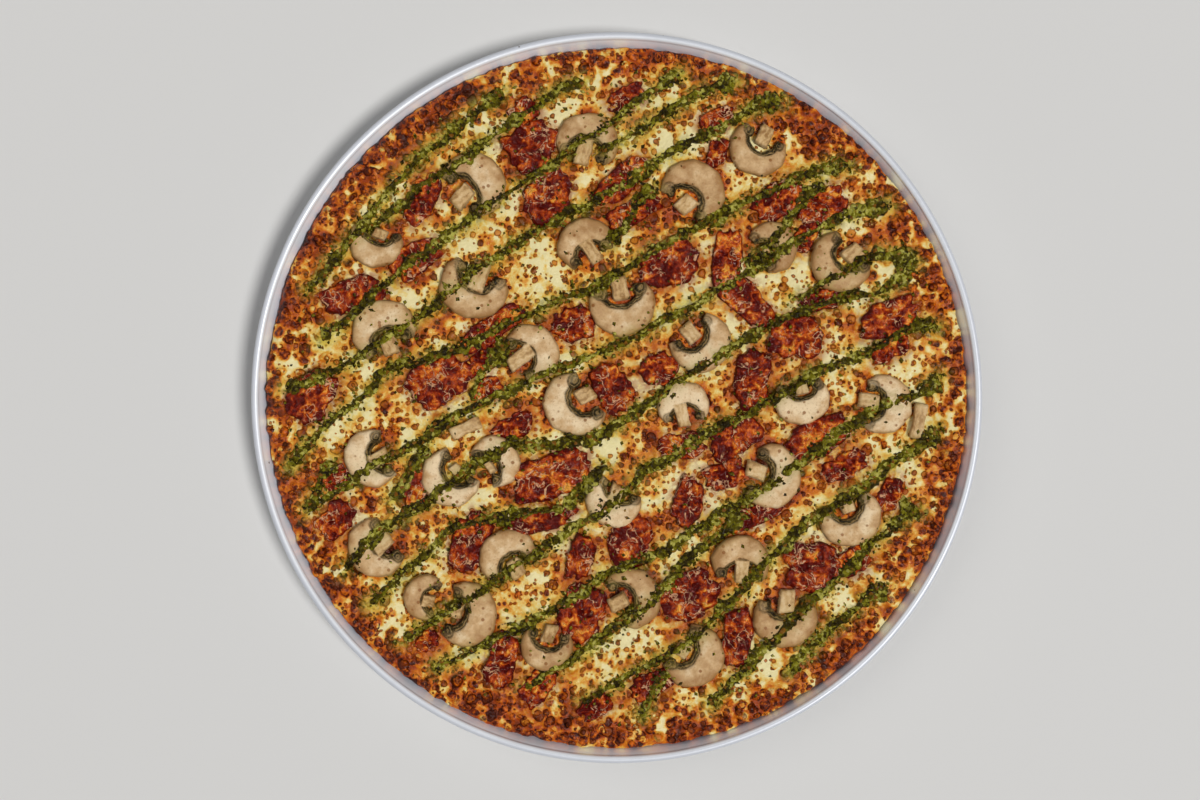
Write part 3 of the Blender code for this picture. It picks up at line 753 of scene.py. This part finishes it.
def slice_relief(x, y, width, stem, lean, number):
    """Height above the slice's underside, and how much each place is gill and stem."""
    u = x / width
    v = y / width
    own_x = x + 91 * number
    bend = 0.07 * soft_noise(own_x, y, 7, 77) + 0.03 * soft_noise(own_x, y, 2.5, 79)
    wide = 0.32 + 0.02 * math.sin(7 * number)
    tall = 0.31 + 0.03 * math.sin(5 * number)
    inner = np.hypot((u - 0.02 * math.sin(3 * number)) / wide, (v + 0.25) / tall) + bend
    foot = -0.12 - 0.32 * stem
    tilt = 0.16 * math.sin(4.1 * number)
    across = np.abs(u - lean - tilt * (v + 0.2) + 0.012 * soft_noise(x, y + 91 * number, 4, 78)) / 0.115
    joined = 0.04 if number % 3 == 0 else -0.07
    in_stem = smoothstep(1.1, 0.94, across) * smoothstep(joined, joined - 0.04, v)
    in_stem = in_stem * smoothstep(foot - 0.03, foot, v)
    gill = smoothstep(1.05, 0.97, inner) * (1 - in_stem)
    notch = smoothstep(0.80, 0.70, inner)
    below = smoothstep(-0.27, -0.30, v) * smoothstep(0.30, 0.26, np.abs(u))
    notch = np.maximum(notch, below) * (1 - in_stem)
    near = np.hypot(np.abs(u) - 0.30, (v + 0.23) * 0.9) + 0.35 * bend
    curl = smoothstep(0.11, 0.08, near) * (0.75 if number % 2 else 1)
    ring = inner * (1 - curl) + curl * (near * 2.6 + 0.3)
    gill = np.maximum(gill, curl * 0.8) * (1 - in_stem)
    notch = notch * (1 - curl)
    outer = np.hypot(u / 0.5, (v + 0.02) / 0.47)
    rounded = smoothstep(0.98, 1.3, inner) * smoothstep(1.02, 0.7, outer) * (1 - in_stem)
    height = SLICE_THICKNESS - 0.4 + 0.7 * rounded - 1.2 * gill + 0.3 * in_stem + 0.5 * curl
    height = height * (1 - notch) - 1.9 * notch
    height = height + 0.5 * soft_noise(own_x, y, 7, 71) + 0.15 * soft_noise(own_x, y, 2, 73)
    return height, {"gill": gill, "stem": in_stem, "ring": ring}


def add_topping(piece, finish, place, radius_at, relief, rings, steps):
    """A lump that lies on the cheese: its outline, its top, and its side down into the cheese."""
    name, node, slot = piece
    x, y, under, turn = place
    angles = np.arange(steps) * math.tau / steps
    radius = radius_at(angles)
    share = np.array([*(np.arange(rings) / rings), 0.98, 1.0, 0.97])
    rows = len(share)
    local_x = (share[:, None] * radius * np.cos(angles)).ravel()
    local_y = (share[:, None] * radius * np.sin(angles)).ravel()
    height, fields = relief(local_x, local_y)
    edge = np.repeat([*share[:-1], 1.0], steps)
    level = (height - 1.5 * smoothstep(0.86, 1.0, edge) ** 2).reshape(rows, steps)
    level[-2] = np.minimum(level[-2], 0.8)
    level[-1] = -1.2
    cos, sin = math.cos(turn), math.sin(turn)
    place_x = x + local_x * cos - local_y * sin
    place_y = y + local_x * sin + local_y * cos
    fields["edge"] = edge
    fields["oil"] = sample(OIL, place_x, place_y)
    verts = np.stack([place_x, place_y, under + level.ravel()], -1)
    obj = build_mesh(name, verts, grid_faces(rows, steps, True), finish, fields)
    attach(obj, "root")
    if node:
        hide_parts(node)

    window_rows, window_columns = window(x, y, float(radius.max()) + 1)
    dx = GRID_X[window_rows, window_columns] - x
    dy = GRID_Y[window_rows, window_columns] - y
    map_x = dx * cos + dy * sin
    map_y = dy * cos - dx * sin
    edge_angles = np.arctan2(map_y, map_x) % math.tau
    limit = np.interp(edge_angles.ravel(), np.append(angles, math.tau), np.append(radius, radius[0]))
    inside = np.hypot(map_x, map_y) <= limit.reshape(map_x.shape)
    above = under + relief(map_x.ravel(), map_y.ravel())[0].reshape(map_x.shape) - 0.2
    patch = TOP[window_rows, window_columns]
    TOP[window_rows, window_columns] = np.where(inside, np.maximum(patch, above), patch)


def make_slices():
    finish = mushroom_finish()
    drawn = random.Random(SEED)
    for number, (x, y, width, degrees, stem) in enumerate(MUSHROOMS, 1):
        outline, lean = slice_outline(width, stem, drawn)
        tone = 0.08 * math.sin(12.3 * number)
        node = f"mushroom_{number:02d}"

        def radius_at(angles):
            smooth = sum(outline_radius(outline, angles + shift) for shift in (-0.04, 0, 0.04)) / 3
            return smooth * (1 + 0.012 * np.sin(7 * angles + number))

        def relief(local_x, local_y):
            height, fields = slice_relief(local_x, local_y, width, stem, lean, number)
            fields["local"] = np.stack([local_x / width, local_y / width, np.full_like(local_x, tone)], -1)
            return height, fields

        place = (x, y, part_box(node)[0][2] / MM, math.radians(degrees - 90))
        add_topping((f"{node}_slice", node, "mushroom"), finish, place, radius_at, relief, 22, 100)
        # painted shade: the cheese under each slice and in a thin ring round it is darkened through the
        # browning map
        rows, columns = window(x, y, width)
        far = np.hypot(GRID_X[rows, columns] - x, GRID_Y[rows, columns] - y)
        TOAST_AND_SHADE[rows, columns] += 0.25 * smoothstep(0.56 * width, 0.45 * width, far)
    for number, (x, y, length, width, degrees) in enumerate(STEMS, 1):
        half = length / 2
        side = width / 2
        outline = [(-half, -side), (0, -0.8 * side), (half, -side)]
        outline += [(half, side), (0, 0.8 * side), (-half, side)]
        node = f"mushroom_stem_{number}"

        def radius_at(angles):
            return sum(outline_radius(outline, angles + shift) for shift in (-0.06, 0, 0.06)) / 3

        def relief(local_x, local_y):
            height = SLICE_THICKNESS - 0.2 + 0.3 * soft_noise(local_x, local_y + 50 * number, 4, 75)
            nothing = np.zeros_like(local_x)
            local = np.stack([local_y / 34, local_x / 34, nothing], -1)
            return height, {"gill": nothing, "stem": nothing + 0.8, "ring": nothing, "local": local}

        place = (x, y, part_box(node)[0][2] / MM, math.radians(degrees))
        add_topping((f"{node}_slice", node, "mushroom"), finish, place, radius_at, relief, 8, 60)


# Dried tomato


def tomato_edge(size):
    """The ragged, squarish edge of a piece of tomato, about its middle."""
    x, y, length, width, degrees = size
    cos = math.cos(math.radians(degrees))
    sin = math.sin(math.radians(degrees))
    edge = []
    for step in range(48):
        angle = math.tau * step / 48
        across, along = math.cos(angle), math.sin(angle)
        square = (abs(across) ** 3 + abs(along) ** 3) ** (-1 / 3)
        ragged = 1 + 0.25 * noise.noise(Vector((across * 2.5 + x, along * 2.5 + y, SEED + 0.5)))
        jag = 0.14 * noise.noise(Vector((across * 6 + y, along * 6 + x, 3.3)))
        far_x = length / 2 * across * square * (ragged + jag)
        far_y = width / 2 * along * square * (ragged + jag)
        edge.append((far_x * cos - far_y * sin, far_x * sin + far_y * cos))
    return edge


def tomato_relief(x, y, number):
    """Height above the piece's underside, and how much each place is a ridge, which the finish paints lighter
    as painted light.
    """
    folds = 1 - np.abs(rough_noise(x + 57 * number, y - 31 * number, 5.5, 81, 3)) * 2.4
    small = 1 - np.abs(soft_noise(x + 57 * number, y - 31 * number, 2.1, 87)) * 2
    height = TOMATO_THICKNESS * 0.72 + 1.4 * (folds - 0.5) + 0.6 * (small - 0.5)
    return height, {"ridge": np.clip(folds * 0.65 + small * 0.35, 0, 1)}


def make_tomatoes():
    finish = tomato_finish()
    for number, size in enumerate(TOMATOES + SMALL_TOMATOES, 1):
        x, y = size[:2]
        edge = tomato_edge(size)
        own = number <= len(TOMATOES)
        node = f"tomato_{number:02d}" if own else None
        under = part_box(node)[0][2] / MM if own else float(sample(PLAIN, x, y)) + 0.1

        def radius_at(angles):
            return outline_radius(edge, angles)

        def relief(local_x, local_y):
            return tomato_relief(local_x, local_y, number)

        name = f"{node}_piece" if own else f"tomato_baked_in_{number - len(TOMATOES)}"
        piece = (name, node, "dried_tomato")
        add_topping(piece, finish, (x, y, under, 0.0), radius_at, relief, 18, 88 if own else 72)
        rows, columns = window(x, y, 30)
        dx = GRID_X[rows, columns] - x
        dy = GRID_Y[rows, columns] - y
        angles = np.linspace(0, math.tau, 73)
        toward = np.arctan2(dy, dx) % math.tau
        limit = np.interp(toward.ravel(), angles, radius_at(angles)).reshape(dx.shape)
        past = np.hypot(dx, dy) - limit
        JUICE[rows, columns] = np.maximum(JUICE[rows, columns], smoothstep(JUICE_REACH, 0, past))


# Pesto


def herb_places():
    """Where loose bits of herb lie: beside the strokes, and a few anywhere."""
    places = []
    for line in LINES:
        count = int(len(line) * 0.85)
        chosen = line[draw.integers(0, len(line), count)]
        places.append(chosen + draw.normal(0, 2.6, chosen.shape))
    anywhere = draw.uniform(-185, 185, (900, 2))
    places.append(anywhere[np.hypot(*anywhere.T) < 184])
    return np.concatenate(places)


def make_bits(name, finish, ground, places, sizes):
    """Small ragged lumps lying on the ground map, all in one mesh."""
    corners = np.array([(1, 0, 0), (0, 1, 0), (-1, 0, 0), (0, -1, 0), (0, 0, 1), (0, 0, -1)], float)
    sides = np.array([(0, 1, 4), (1, 2, 4), (2, 3, 4), (3, 0, 4), (1, 0, 5), (2, 1, 5), (3, 2, 5), (0, 3, 5)])
    count = len(places)
    size = draw.uniform(*sizes, count)
    turn = draw.uniform(0, math.tau, count)
    shape = corners * draw.uniform(0.6, 1.3, (count, 6, 1))
    shape = shape * np.stack([size * draw.uniform(1, 1.8, count), size, size * 0.7], -1)[:, None, :]
    cos = np.cos(turn)[:, None]
    sin = np.sin(turn)[:, None]
    x = places[:, :1] + shape[..., 0] * cos - shape[..., 1] * sin
    y = places[:, 1:] + shape[..., 0] * sin + shape[..., 1] * cos
    z = sample(ground, places[:, :1], places[:, 1:]) + shape[..., 2] + 0.1
    verts = np.stack([x, y, z], -1).reshape(-1, 3)
    faces = (sides + 6 * np.arange(count)[:, None, None]).reshape(-1, 3)
    obj = build_mesh(name, verts, faces, finish)
    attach(obj, "root")


def make_pesto():
    finish = pesto_finish()
    soft = np.maximum(blurred(TOP, 1.5), TOP)
    across = np.linspace(-1, 1, 11)
    all_verts = []
    all_faces = []
    count = 0
    for number, line in enumerate(LINES, 1):
        along = np.cumsum(np.hypot(*np.diff(line, axis=0, prepend=line[:1]).T))
        nothing = 0 * along
        left_over = along[-1] - along
        ahead = np.gradient(line, axis=0)
        ahead /= np.maximum(np.hypot(*ahead.T), 1e-6)[:, None]
        side = np.stack([-ahead[:, 1], ahead[:, 0]], -1)
        blob = 1 + 0.8 * smoothstep(18, 4, along) + 0.3 * smoothstep(8, 2, left_over)
        ends = np.sqrt(np.clip(along / 3.5, 0, 1)) * np.sqrt(np.clip(left_over / 3.5, 0, 1))
        spread = 1 + 0.65 * rough_noise(along, nothing, 15, 250 + number, 2)
        reach = PESTO_REACH * blob * spread * (0.12 + 0.88 * ends)
        drift = 1.3 * soft_noise(along, nothing, 11, 200 + number)
        left = reach * (1 + 0.75 * rough_noise(along, nothing, 3.6, 300 + number, 3))
        right = reach * (1 + 0.75 * rough_noise(along, nothing, 3.6, 400 + number, 3))
        wide = np.where(across > 0, left[:, None], right[:, None])
        offset = across * wide + drift[:, None]
        x = line[:, :1] + side[:, :1] * offset
        y = line[:, 1:] + side[:, 1:] * offset
        arch = np.sqrt(np.clip(1 - across ** 2, 0, 1)) * (PESTO_HEIGHT * blob * (0.3 + 0.7 * ends))[:, None]
        lumps = 0.95 + 1.5 * rough_noise(x, y, 2.4, 500, 3)
        z = sample(soft, x, y) + arch * lumps - 0.2
        z[:, 0] -= 0.5
        z[:, -1] -= 0.5
        all_verts.append(np.stack([x, y, z], -1).reshape(-1, 3))
        all_faces.append(grid_faces(len(line), len(across), False)[:, ::-1] + count)
        count += all_verts[-1].shape[0]
    pesto = build_mesh("pesto_strokes", np.concatenate(all_verts), np.concatenate(all_faces), finish)
    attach(pesto, "root")
    make_bits("pesto_bits", finish, soft, herb_places(), (0.35, 1.35))


# Cheese meshes

# Where the grid of the cheese meets the rings of the crust, and how many quads it has from side to side
SEAM = 166.0
ACROSS = 288


def make_cheese():
    """The top as a square grid bent to a disc, and a ring for the crust, its side and the underside."""
    finish = cheese_finish()
    # painted shade: how far each place lies below the blurred top, darker in crevices and lighter on ridges
    painted_crevice_shade = np.clip((blurred(HEIGHT, 1.5) - HEIGHT) * 2.2, -0.6, 1)
    fields = {"toast_and_shade": TOAST_AND_SHADE, "char": CHAR, "oil": OIL, "juice": JUICE, "painted_crevice_shade": painted_crevice_shade}
    side = np.linspace(-1, 1, ACROSS + 1)
    a, b = np.meshgrid(side, side)
    wide = np.abs(a) >= np.abs(b)
    radius = np.where(wide, a, b)
    other = np.where(wide, b, a)
    turn = math.pi / 4 * other / np.where(radius == 0, 1, radius)
    angle = np.where(wide, turn, math.pi / 2 - turn)
    x = (SEAM * radius * np.cos(angle)).ravel()
    y = (SEAM * radius * np.sin(angle)).ravel()
    verts = np.stack([x, y, sample(HEIGHT, x, y)], -1)
    values = {key: sample(field, x, y) for key, field in fields.items()}
    cheese = build_mesh("melted_cheese", verts, grid_faces(ACROSS + 1, ACROSS + 1, False), finish, values)
    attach(cheese, "root")
    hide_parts("pizza_base")

    steps = 4 * ACROSS
    angle = np.arange(steps) * math.tau / steps
    cos, sin = np.cos(angle), np.sin(angle)
    rows = np.concatenate([np.linspace(SEAM, 191.2, 46), [192.1, 193.0, 193.9, 194.6, 195.2]])
    radius = rows[:, None] + 0 * angle
    height = sample(HEIGHT, radius * cos, radius * sin) - 2.6 * smoothstep(191, 196.5, radius) ** 1.5
    ragged = 1.1 * rough_noise(cos * 190, sin * 190, 4.5, 61)
    radius = radius + ragged * smoothstep(186, 194, radius)
    side_rows = np.array((
        (195.6, 18.2), (194.7, 16.0), (wall_radius(13) - 1.2, 13), (wall_radius(9) - 1.3, 9),
        (wall_radius(5.5) - 1.2, 5.5), (wall_radius(3) - 1.8, 2.6), (wall_radius(1.5) - 3.5, 1.5),
        (120, 1.5), (50, 1.5), (1, 1.5),
    ))
    below_r = side_rows[:, :1] + 0 * angle
    below_z = side_rows[:, 1:] + 0 * angle
    below_r = below_r + ragged * smoothstep(12, 17, below_z)
    pitted = 0.35 * rough_noise(below_r * cos, below_r * sin + below_z * 3, 4, 67)
    below_r = below_r + pitted * smoothstep(2, 5, below_z)
    all_r = np.concatenate([radius, below_r])
    x = (all_r * cos).ravel()
    y = (all_r * sin).ravel()
    z = np.concatenate([height, below_z]).ravel()
    deep = smoothstep(19, 12, z)
    values = {key: sample(field, x, y) * (1 - deep) for key, field in fields.items()}
    values["toast_and_shade"] = values["toast_and_shade"] + deep * (0.62 + 0.1 * rough_noise(x, y + z * 4, 6, 68))
    verts = np.stack([x, y, z], -1)
    crust = build_mesh("browned_crust", verts, grid_faces(len(all_r), steps, True), finish, values)
    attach(crust, "root")


def make_stage():
    bpy.ops.mesh.primitive_plane_add(size=16)
    floor = bpy.context.object
    floor.name = "floor"
    floor.data.materials.append(Finish("floor").done(Base_Color=(0.70, 0.69, 0.67, 1), Roughness=0.7))
    world = bpy.data.worlds.new("studio")
    world.use_nodes = True
    world.node_tree.nodes["Background"].inputs["Color"].default_value = (0.96, 0.97, 1.0, 1)
    world.node_tree.nodes["Background"].inputs["Strength"].default_value = 0.14
    bpy.context.scene.world = world
    for name, place, power, wide in LAMPS:
        lamp = bpy.data.lights.new(name, "SUN")
        lamp.energy = power
        lamp.angle = wide
        obj = bpy.data.objects.new(name, lamp)
        obj.location = place
        bpy.context.scene.collection.objects.link(obj)
        obj.rotation_euler = obj.location.to_track_quat("Z", "Y").to_euler()
    camera = bpy.data.cameras.new("camera")
    camera.lens = LENS
    camera.sensor_width = SENSOR
    obj = bpy.data.objects.new("camera", camera)
    obj.location = (-9.3 * MM, -1.3 * MM, 25 * MM + VIEW_WIDTH * LENS / SENSOR)
    bpy.context.scene.collection.objects.link(obj)
    bpy.context.scene.camera = obj
    bpy.context.scene.view_settings.view_transform = "Standard"


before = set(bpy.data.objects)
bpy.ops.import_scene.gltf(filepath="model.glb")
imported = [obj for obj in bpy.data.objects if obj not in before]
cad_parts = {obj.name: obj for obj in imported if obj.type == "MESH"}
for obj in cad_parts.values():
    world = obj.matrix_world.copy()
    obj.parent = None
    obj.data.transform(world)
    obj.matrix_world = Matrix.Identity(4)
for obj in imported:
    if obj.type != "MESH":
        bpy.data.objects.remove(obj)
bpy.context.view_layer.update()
make_pan()
make_slices()
make_tomatoes()
make_cheese()
make_pesto()
make_stage()
